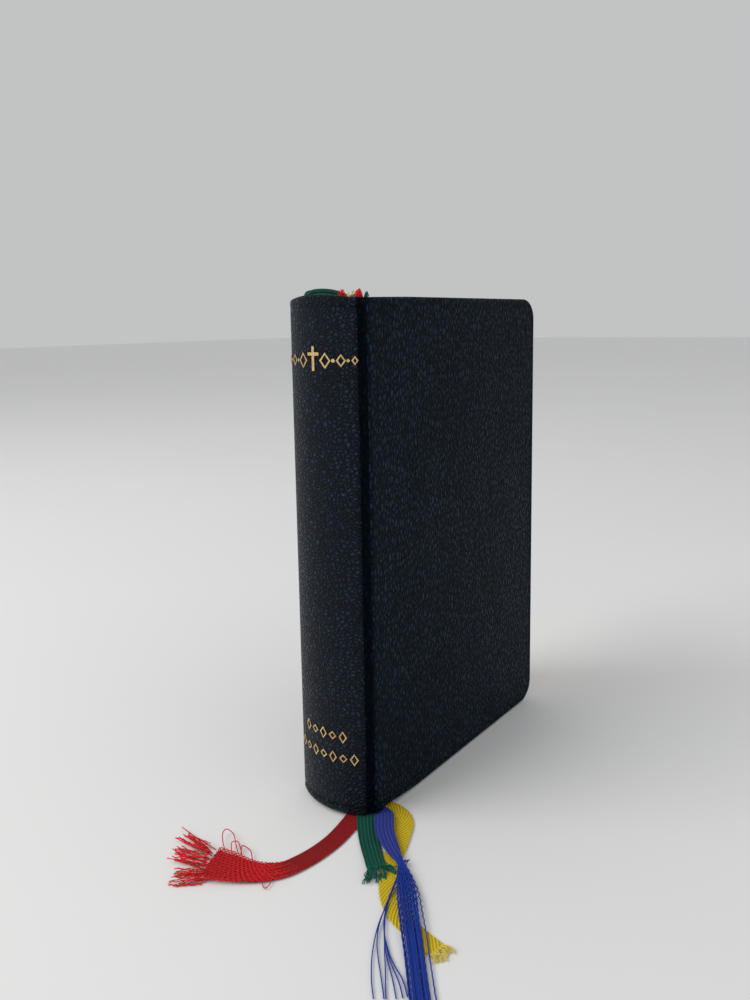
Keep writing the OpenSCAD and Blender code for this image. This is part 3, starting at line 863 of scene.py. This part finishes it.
# Frayed bits of ribbon that stand out of the head: colour, foot, tip, how many threads, and their spread at
# the foot and the tip.
HEAD_TUFTS = {
    "tuft_red_knit": ("red", (1.5, -5.2, 168.4), (1.5, -5.4, 171.8), 34, 0.75, 0.62),
    "tuft_yellow_fray": ("yellow", (1.6, -9.3, 168.0), (1.6, -9.2, 171.0), 26, 1.1, 0.95),
    "tuft_red_cone": ("red", (1.5, -12.0, 168.9), (1.5, -12.4, 172.3), 40, 0.85, 0.16),
    "tuft_green_bit": ("green", (3.2, -13.0, 168.6), (4.0, -13.2, 171.2), 22, 0.45, 0.32),
}
for name, (colour, foot, tip, count, foot_spread, tip_spread) in HEAD_TUFTS.items():
    threads = thread_shape(tuft(foot, tip, count, tip_spread, 0.12, foot_spread), 0.16)
    ride_spine(shape_mesh(name, [threads], RIBBONS[colour][1]))


# ---- Case: spine, joints and covers ----

def case_curve():
    """The front half of the case's outer line, as (distance, x, y): round the spine, through the groove and
    on to the cover. Distance is nought at the joint line."""
    arc = [(-SPINE_R * (SPINE_ANGLE - a), SPINE_X - SPINE_R * math.cos(a), -SPINE_R * math.sin(a))
           for a in np.linspace(0, SPINE_ANGLE, 160)]
    flat = [(x, x, -HALF_T) for x in np.linspace(0.1, 12, 120)]
    line = np.array(arc + flat)
    dip = GROOVE_D * np.exp(-(((line[:, 0] - GROOVE_S) / GROOVE_SPREAD) ** 2))
    normal = unit(np.stack([-np.gradient(line[:, 2]), np.gradient(line[:, 1])], axis=1))
    for _ in range(30):
        normal[1:-1] = unit(normal[:-2] + normal[1:-1] + normal[2:])
    line[:, 1:] += normal * dip[:, None]
    for _ in range(60):
        line[1:-1, 1:] = (line[:-2, 1:] + 2 * line[1:-1, 1:] + line[2:, 1:]) / 4
    return line


CASE = case_curve()


def case_at(s):
    """Points and inward normals of the case's outer line at distances s."""
    def point(distance):
        return np.stack([np.interp(distance, CASE[:, 0], CASE[:, k]) for k in (1, 2)], axis=1)

    s = np.asarray(s, float)
    along = unit(point(s + 0.15) - point(s - 0.15))
    return point(s), np.stack([-along[:, 1], along[:, 0]], axis=1)


def spine_profile():
    """The leather's section along the height, as (depth below the surface, z), rolled over at both ends."""
    head = [(0.0, SPINE_Z1 - 5.5), (0.02, SPINE_Z1 - 4.0), (0.05, SPINE_Z1 - 3.5), (0.20, SPINE_Z1 - 3.15),
            (0.24, SPINE_Z1 - 2.9), (0.10, SPINE_Z1 - 2.6), (0.02, SPINE_Z1 - 2.2), (-0.02, SPINE_Z1 - 1.6),
            (0.03, SPINE_Z1 - 1.0), (0.22, SPINE_Z1 - 0.5), (0.50, SPINE_Z1 - 0.18), (0.85, SPINE_Z1),
            (1.25, SPINE_Z1 - 0.12), (1.65, SPINE_Z1 - 0.5), (1.8, SPINE_Z1 - 1.0), (1.78, SPINE_Z1 - 3),
            (1.75, SPINE_Z1 - 11)]
    tail = [(d, SPINE_Z0 + SPINE_Z1 - z) for d, z in reversed(head)]
    inside = [(LEATHER_T, SPINE_Z1 - 11.2), (LEATHER_T, SPINE_Z0 + 11.2)]
    outside = [(0.0, z) for z in np.linspace(SPINE_Z0 + 6.5, SPINE_Z1 - 6.5, 70)]
    return np.array(outside + head + inside + tail)


def joint_profile(z0, z1):
    """The same for the joints, which have no roll, between two heights."""
    outside = [(0.0, z) for z in np.linspace(z0 + 1, z1 - 1, 60)]
    head = [(0.06, z1 - 0.4), (0.25, z1 - 0.1), (0.5, z1), (LEATHER_T, z1 - 0.15)]
    tail = [(d, z0 + z1 - z) for d, z in reversed(head)]
    return np.array(outside + head + tail)


def sweep_case(name, distances, profile, side):
    """The leather at the given distances along the case's line, closed at its ends."""
    xy, inward = case_at(distances)
    size = len(profile)
    rings = np.empty((len(distances), size, 3))
    for k, (depth, z) in enumerate(profile):
        rings[:, k, :2] = xy + inward * depth
        rings[:, k, 2] = z
    rings[:, :, 1] *= -side
    return new_mesh(name, rings.reshape(-1, 3), ring_faces(len(distances), size), COVER_LEATHER)


HEAD_CROWN = 1.1  # how much the headcap's middle stands above its ends


def make_spine():
    """The spine's leather. Its edges in the grooves take a darker, less glossy leather, whose dark colour is
    painted shade.
    """
    half = np.linspace(-SPINE_R * SPINE_ANGLE, 0, 74)
    xy, inward = case_at(half)
    other, other_in = xy[::-1][:-1] * [1, -1], inward[::-1][:-1] * [1, -1]
    xy, inward = np.vstack([other, xy]), np.vstack([other_in, inward])
    profile = spine_profile()
    crown = HEAD_CROWN * (1 - smooth_step(np.abs(xy[:, 1]), 2, HALF_T))
    rings = np.empty((len(xy), len(profile), 3))
    for k, (depth, z) in enumerate(profile):
        rings[:, k, :2] = xy + inward * depth
        rings[:, k, 2] = z + crown * float(smooth_step(z, SPINE_Z1 - 9, SPINE_Z1 - 4))
    faces = ring_faces(len(xy), len(profile))
    obj = new_mesh("spine_skin", rings.reshape(-1, 3), faces, SPINE_LEATHER)
    # The faces in the grooves take the darker leather, as painted shade.
    obj.data.materials.append(GROOVE_SHADE_LEATHER)
    edge = TURN_X + case_at([GROOVE_S - 1.6])[0][0][0] * MM
    for polygon in obj.data.polygons:
        polygon.material_index = int(polygon.center.x > edge)
    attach(obj, "spine")
    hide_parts("spine_leather")


def make_joints():
    for name, side in SIDES:
        for part, (low, high) in (("inner", (0.0, JOINT_W / 2)), ("outer", (JOINT_W / 2, JOINT_W))):
            obj = sweep_case(f"{name}_joint_{part}", np.linspace(low, high, 13),
                             joint_profile(1.2, COVER_H - 0.4), side)
            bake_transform(obj)
            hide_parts(f"{name}_joint_leather")


CORNER_R = 8.0
# A cover's tail and head edges slope away from the square near the joint, by this much over this length.
SNIP_TAIL, SNIP_HEAD, SNIP_L = 1.6, 0.3, 18.0


def cover_span(x):
    """Lowest and highest z of a cover's outline at x."""
    share = max(0.0, 1 - (x - JOINT_W) / SNIP_L)
    past = x - (COVER_W - CORNER_R)
    cut = CORNER_R - math.sqrt(max(CORNER_R**2 - past**2, 0)) if past > 0 else 0.0
    return SNIP_TAIL * share + cut, COVER_H - SNIP_HEAD * share - cut


def edge_distance(x, z):
    """How far a point is inside a cover's outline, the joint's side apart."""
    share = max(0.0, 1 - (x - JOINT_W) / SNIP_L)
    nearest = min(z - SNIP_TAIL * share, COVER_H - SNIP_HEAD * share - z)
    to_fore = COVER_W - x
    if to_fore < CORNER_R and nearest < CORNER_R:
        return CORNER_R - math.hypot(CORNER_R - to_fore, CORNER_R - nearest)
    return min(nearest, to_fore)


def rounding(distance, radius):
    """How far a surface falls back at this distance from a rounded edge."""
    d = min(max(distance, 0.0), radius)
    return radius - math.sqrt(max(radius**2 - (radius - d) ** 2, 0))


def pressed_line(distance):
    """The smooth line pressed round a cover, a little inside its edge."""
    return 0.13 * math.exp(-((distance - 2.5) / 0.38) ** 2)


# Where the cover's mesh has lines along its edges.
EDGE_STEPS = [0, 0.03, 0.12, 0.28, 0.5, 0.8, 1.15, 1.6, 1.95, 2.2, 2.5, 2.8, 3.1, 3.6, 4.4]


def make_cover(name, side):
    """The leather over a board: its outer face and the face inside, joined at the rounded edges."""
    xs = list(np.linspace(JOINT_W, 8, 11)) + list(np.linspace(10, COVER_W - 9, 40))
    xs += list(np.linspace(COVER_W - 8, COVER_W - 5, 8)) + [COVER_W - d for d in reversed(EDGE_STEPS)]
    xs = sorted(set(round(x, 4) for x in xs))
    inner = np.linspace(6, COVER_H - 6, 60)
    share = [s / (COVER_H / 2) for s in EDGE_STEPS] + [z / (COVER_H / 2) for z in inner if z < COVER_H / 2]
    share = sorted(set(share + [2 - s for s in share]))
    rows, columns = len(share), len(xs)
    xy, _ = case_at(np.clip(xs, JOINT_W, CASE[-1, 0]))
    sink = np.where(np.array(xs) < CASE[-1, 0] - 0.1, xy[:, 1] + HALF_T, 0.0)
    outer, under = [], []
    for i, x in enumerate(xs):
        low, high = cover_span(min(x, COVER_W - 0.02))
        for s in share:
            z = low + (high - low) * s / 2
            d = edge_distance(x, z)
            top = HALF_T - sink[i] - rounding(d, 1.15) - pressed_line(d)
            bottom = INNER_Y + 0.15 + rounding(d, 0.9)
            outer.append((x, side * top, z))
            under.append((x, side * min(bottom, top - 0.02), z))
    count = rows * columns
    faces = []
    for i in range(columns - 1):
        for k in range(rows - 1):
            a = i * rows + k
            faces.append((a, a + 1, a + 1 + rows, a + rows))
            faces.append((count + a, count + a + rows, count + a + 1 + rows, count + a + 1))
    border = list(range(rows)) + [i * rows + rows - 1 for i in range(1, columns)]
    border += [(columns - 1) * rows + k for k in range(rows - 2, -1, -1)]
    border += [i * rows for i in range(columns - 2, 0, -1)]
    for a, b in zip(border, border[1:] + border[:1]):
        faces.append((a, b, b + count, a + count))
    obj = new_mesh(f"{name}_skin", outer + under, faces, COVER_LEATHER)
    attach(obj, f"{name}_cover")
    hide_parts(f"{name}_leather")


make_spine()
make_joints()
for side_name, side_sign in SIDES:
    make_cover(side_name, side_sign)


# ---- Pages ----

HINGES = {j["child"]: j["pos_m"] for j in frame["record"]["behaviour"]["joints"]}
PAGE_CORNER_R = 7.0
LEAVES_PER_SECTION = 6
FIXED_HINGE_X = 10.4  # where the middle section would bend


def fold_x(y):
    return SPINE_X - math.sqrt(FOLD_R**2 - y * y)


LEAF_W = COVER_W - 3 - fold_x((MIDDLE - 1) * SECTION_PITCH)


def leaf_outline(x0, x1, bends):
    """Half outlines of one leaf, tail and head, as (x, z at the tail, z at the head)."""
    xs = list(np.linspace(x0, x0 + 1, 3)) + list(bends) + list(np.linspace(bends[-1] + 8, x1 - 8, 3))
    xs += [x1 - PAGE_CORNER_R * (1 - math.sin(a)) for a in np.linspace(0, math.pi / 2, 8)]
    found = []
    for x in xs:
        past = x - (x1 - PAGE_CORNER_R)
        cut = PAGE_CORNER_R - math.sqrt(max(PAGE_CORNER_R**2 - past**2, 0)) if past > 0 else 0
        found.append((x, PAGE_Z0 + cut, PAGE_Z1 - cut))
    return found


def make_section(i):
    """One section: thin leaves that start at the section's fold line by the spine, with closer columns where
    they would bend in the gutter.
    """
    y = (i - MIDDLE) * SECTION_PITCH
    body = f"leaves_{i:02d}"
    hinge = (HINGES[body][0] - TURN_X) / MM if body in HINGES else FIXED_HINGE_X
    bends = np.linspace(hinge - 0.9, hinge + 0.6, 9)
    each = SECTION_T / LEAVES_PER_SECTION
    points, faces = [], []
    for k in range(LEAVES_PER_SECTION):
        middle = y - SECTION_T / 2 + (k + 0.5) * each
        uneven = rng.uniform(-0.06, 0.06)
        outline = leaf_outline(fold_x(y) + 0.15 * abs(k - 2.5), fold_x(middle) + LEAF_W + uneven, bends)
        low, high = middle - each * 0.44, middle + each * 0.44
        base = len(points)
        rise = rng.uniform(-0.03, 0.03)
        for x, z0, z1 in outline:
            points += [(x, low, z0 + rise), (x, high, z0 + rise), (x, high, z1 + rise), (x, low, z1 + rise)]
        faces += [tuple(base + v for v in f) for f in ring_faces(len(outline), 4)]
    name = f"section_{i:02d}"
    obj = new_mesh(name, points, faces, GILT_PAPER, smooth=False)
    if body in HINGES:
        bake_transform(obj)
    else:
        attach(obj, "spine")
    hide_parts(body)
    if i == 1:
        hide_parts("sewn_folds")


for section in range(1, SECTIONS + 1):
    make_section(section)


# ---- CAD nodes that stay, with their own finishes ----

FINISHES = {
    "spine_stiffener": BOARD, "paper_lining": KRAFT, "mull_lining": MULL, "sewing_thread": THREAD,
    "headband_head": HEADBAND, "headband_tail": HEADBAND, "ornament_upper": GOLD, "ornament_lower": GOLD,
}
for side_name, _ in SIDES:
    FINISHES[f"{side_name}_board"] = BOARD
    FINISHES[f"{side_name}_infill"] = CARD
    FINISHES[f"{side_name}_pastedown"] = ENDPAPER
    FINISHES[f"{side_name}_flyleaf"] = ENDPAPER
for node_name, finish in FINISHES.items():
    node = frame["nodes"][node_name]
    for index in range(len(node.material_slots)):
        node.material_slots[index].link = "OBJECT"
        node.material_slots[index].material = finish


# ---- Floor and light ----

def make_floor():
    data = bpy.data.meshes.new("floor")
    reach = 6.0
    data.from_pydata([(-reach, -reach, 0), (reach, -reach, 0), (reach, reach, 0), (-reach, reach, 0)],
                     [], [(0, 1, 2, 3)])
    data.materials.append(floor_paint())
    floor = bpy.data.objects.new("floor", data)
    floor.location.z = -0.0002
    bpy.context.scene.collection.objects.link(floor)


def area_light(name, place, target, size, power, colour=(1, 1, 1)):
    lamp = bpy.data.lights.new(name, "AREA")
    lamp.shape = "RECTANGLE"
    lamp.size, lamp.size_y = size
    lamp.energy = power
    lamp.color = colour
    obj = bpy.data.objects.new(name, lamp)
    obj.location = place
    obj.rotation_euler = (Vector(target) - Vector(place)).to_track_quat("-Z", "Y").to_euler()
    bpy.context.scene.collection.objects.link(obj)


make_floor()
area_light("window", (-0.9, 0.55, 0.95), (0, 0, 0.08), (0.9, 0.9), 9.5, (1.0, 0.99, 0.97))
area_light("fill", (-0.5, -1.3, 0.9), (0, 0, 0.08), (1.6, 1.2), 1.2, (0.96, 0.98, 1.0))
world = bpy.data.worlds.new("studio")
bpy.context.scene.world = world
world.use_nodes = True
world.node_tree.nodes["Background"].inputs["Color"].default_value = (0.985, 0.99, 1.0, 1)
world.node_tree.nodes["Background"].inputs["Strength"].default_value = 0.55
bpy.context.scene.view_settings.view_transform = "Standard"
